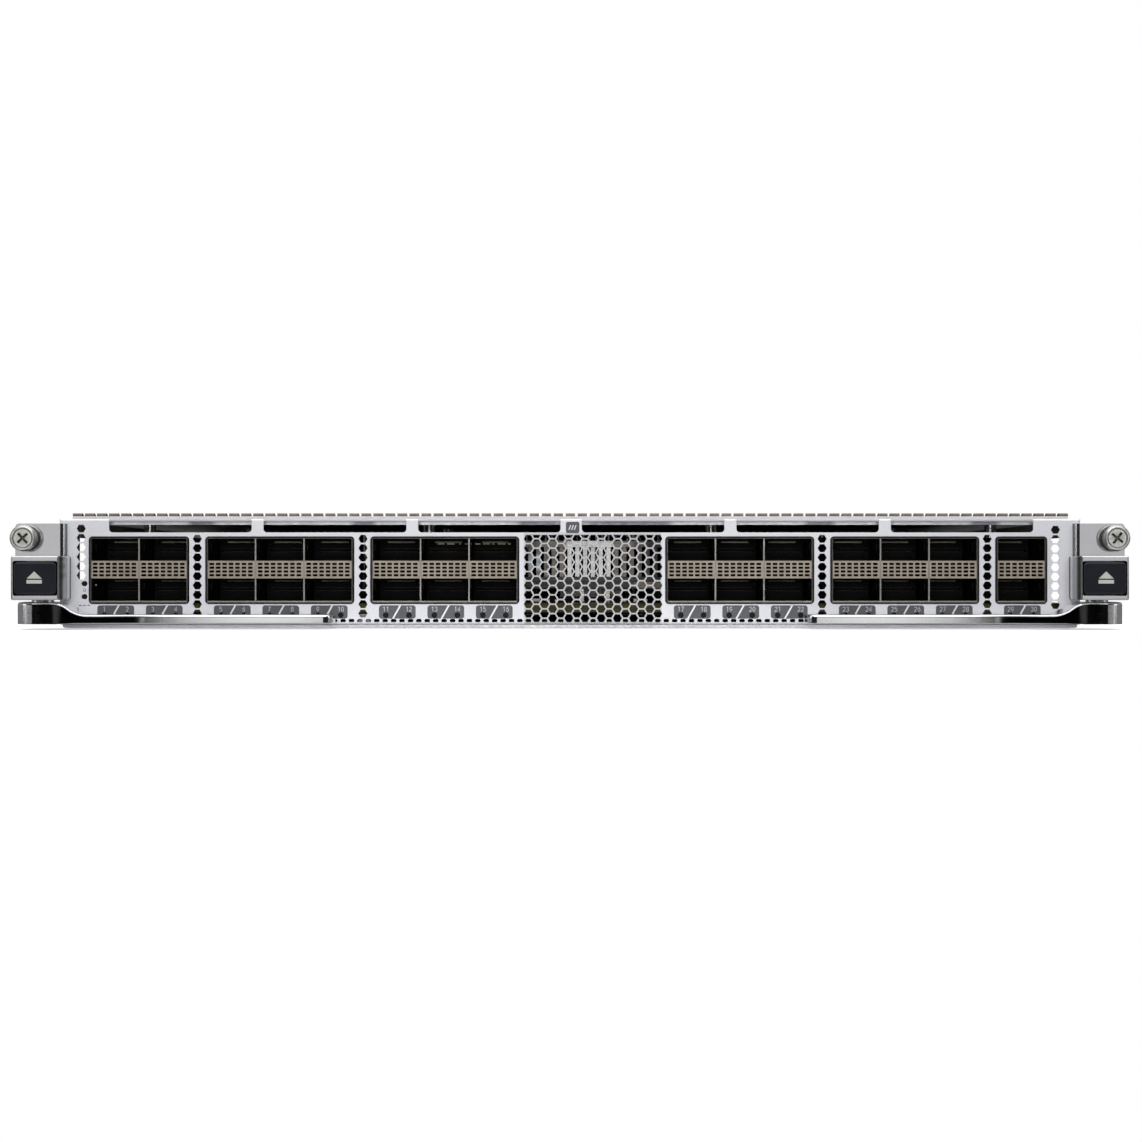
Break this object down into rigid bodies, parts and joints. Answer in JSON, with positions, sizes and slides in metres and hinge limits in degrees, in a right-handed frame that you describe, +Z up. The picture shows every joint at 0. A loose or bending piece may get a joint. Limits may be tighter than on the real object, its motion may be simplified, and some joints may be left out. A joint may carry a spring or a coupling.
{
  "type": "switch line card",
  "caption": "Horizontal line card for a modular network switch: faceplate of stacked pluggable-module ports, vent honeycomb, ejector levers, eject buttons and captive screws.",
  "frame": {"origin": "middle of the card's footprint, on the underside of the base tray", "axes": "+Z up, +X across the card to the right as the faceplate is seen, +Y from the faceplate to the rear connectors"},
  "size_m": [0.4344, 0.556, 0.0449],
  "materials": {
    "zinc_sheet": "satin zinc-plated sheet",
    "face_metal": "satin light nickel plate",
    "board": "satin",
    "plated_steel": "nickel plated",
    "nickel_sheet": "satin nickel",
    "black_plastic": "moulded",
    "clear_plastic": "smoked clear",
    "spring_alloy": "satin",
    "fin_aluminium": "satin",
    "grey_ceramic": "matte",
    "die_cast": "cast",
    "bright_plate": "bright nickel plate",
    "spring_steel": "drawn wire",
    "button_plastic": "satin moulded",
    "screw_metal": "turned, nickel plated"
  },
  "bodies": {
    "chassis": {"base_tray": "zinc_sheet", "board_screws": "plated_steel", "board_standoffs": "plated_steel", "bracket_screws": "plated_steel", "button_spring_left": "spring_steel", "button_spring_right": "spring_steel", "cage_dividers": "nickel_sheet", "cage_spacers": "nickel_sheet", "capacitors": "fin_aluminium", "chip_lids": "plated_steel", "chip_substrates": "board", "circuit_board": "board", "cover_posts": "plated_steel", "cover_screws": "plated_steel", "faceplate": "face_metal", "guide_sockets": "die_cast", "heat_sink_front": "fin_aluminium", "heat_sink_left": "fin_aluminium", "heat_sink_rear": "fin_aluminium", "heat_sink_right": "fin_aluminium", "latch_bracket_left": "bright_plate", "latch_bracket_right": "bright_plate", "lever_pivot_pins": "plated_steel", "lever_springs": "spring_steel", "memory_chips": "black_plastic", "pivot_washers": "plated_steel", "port_cage_1": "nickel_sheet", "port_cage_2": "nickel_sheet", "port_cage_3": "nickel_sheet", "port_cage_4": "nickel_sheet", "port_cage_5": "nickel_sheet", "port_cage_6": "nickel_sheet", "port_connectors": "black_plastic", "port_driver_chips": "black_plastic", "port_light_pipes": "clear_plastic", "power_connector": "black_plastic", "power_inductors": "grey_ceramic", "power_module_1": "black_plastic", "power_module_2": "black_plastic", "power_module_3": "black_plastic", "rear_stiffener": "zinc_sheet", "screw_ferrules": "plated_steel", "side_bracket_left": "zinc_sheet", "side_bracket_right": "zinc_sheet", "signal_connector_left": "black_plastic", "signal_connector_right": "black_plastic", "sink_clamp_plate": "plated_steel", "status_light_pipe": "clear_plastic", "top_cover": "zinc_sheet", "top_gasket_strip": "spring_alloy"},
    "lever_left": {"ejector_lever_left": "bright_plate"},
    "lever_right": {"ejector_lever_right": "bright_plate"},
    "button_left": {"eject_button_left": "button_plastic"},
    "button_right": {"eject_button_right": "button_plastic"},
    "screw_slider_left": {"screw_spring_left": "spring_steel"},
    "screw_slider_right": {"screw_spring_right": "spring_steel"},
    "screw_left": {"captive_screw_left": "screw_metal"},
    "screw_right": {"captive_screw_right": "screw_metal"}
  },
  "joints": [
    {"name": "lever_swing_left", "type": "hinge", "parent": "chassis", "child": "lever_left", "pos_m": [-0.2045, -0.258, 0.006], "axis": [0, 0, -1], "range_deg": [0, 60]},
    {"name": "button_press_left", "type": "slide", "parent": "chassis", "child": "button_left", "axis": [0, 1, 0], "range_m": [0, 0.003], "stiffness_N_per_m": 400, "deforming": ["button_spring_left"]},
    {"name": "screw_press_left", "type": "slide", "parent": "chassis", "child": "screw_slider_left", "axis": [0, 1, 0], "range_m": [0, 0.0045], "stiffness_N_per_m": 300, "deforming": ["screw_spring_left"]},
    {"name": "screw_turn_left", "type": "hinge", "parent": "screw_slider_left", "child": "screw_left", "pos_m": [-0.212, -0.246, 0.035], "axis": [0, -1, 0], "continuous": true},
    {"name": "lever_swing_right", "type": "hinge", "parent": "chassis", "child": "lever_right", "pos_m": [0.2045, -0.258, 0.006], "axis": [0, 0, 1], "range_deg": [0, 60]},
    {"name": "button_press_right", "type": "slide", "parent": "chassis", "child": "button_right", "axis": [0, 1, 0], "range_m": [0, 0.003], "stiffness_N_per_m": 400, "deforming": ["button_spring_right"]},
    {"name": "screw_press_right", "type": "slide", "parent": "chassis", "child": "screw_slider_right", "axis": [0, 1, 0], "range_m": [0, 0.0045], "stiffness_N_per_m": 300, "deforming": ["screw_spring_right"]},
    {"name": "screw_turn_right", "type": "hinge", "parent": "screw_slider_right", "child": "screw_right", "pos_m": [0.212, -0.246, 0.035], "axis": [0, -1, 0], "continuous": true}
  ]
}
